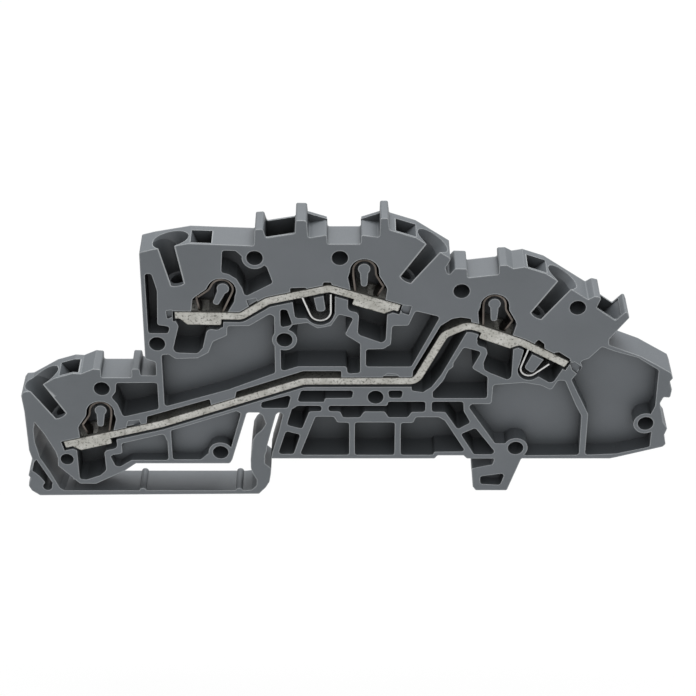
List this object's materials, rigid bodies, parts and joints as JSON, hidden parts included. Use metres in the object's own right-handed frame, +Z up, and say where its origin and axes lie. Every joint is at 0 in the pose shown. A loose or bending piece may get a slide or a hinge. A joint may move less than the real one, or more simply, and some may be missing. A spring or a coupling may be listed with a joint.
{
  "type": "double level terminal block",
  "caption": "Slim moulded terminal block for a mounting rail, open on one side, with bent current bars and clamp springs on two levels and an elastic latch foot.",
  "frame": {"origin": "on the underside that sits on the rail, at the middle of the 35 mm rail's width and of the block's thickness", "axes": "+X along the block towards its tapered end, +Z up away from the rail, +Y from the open side to the closed side"},
  "size_m": [0.0997, 0.0052, 0.0505],
  "materials": {
    "housing_grey": "satin moulded",
    "tinned_bar": "tinned, lightly worn",
    "spring_steel": "rolled strip",
    "bright_spring": "bright rolled strip"
  },
  "bodies": {
    "root": {"housing": "housing_grey", "upper_current_bar": "tinned_bar", "lower_current_bar": "tinned_bar", "clamp_spring_lower_left": "spring_steel", "clamp_spring_upper_left": "spring_steel", "clamp_spring_upper_right": "spring_steel", "clamp_spring_lower_right": "spring_steel", "jumper_spring_upper": "bright_spring", "jumper_spring_lower": "bright_spring"}
  },
  "joints": []
}
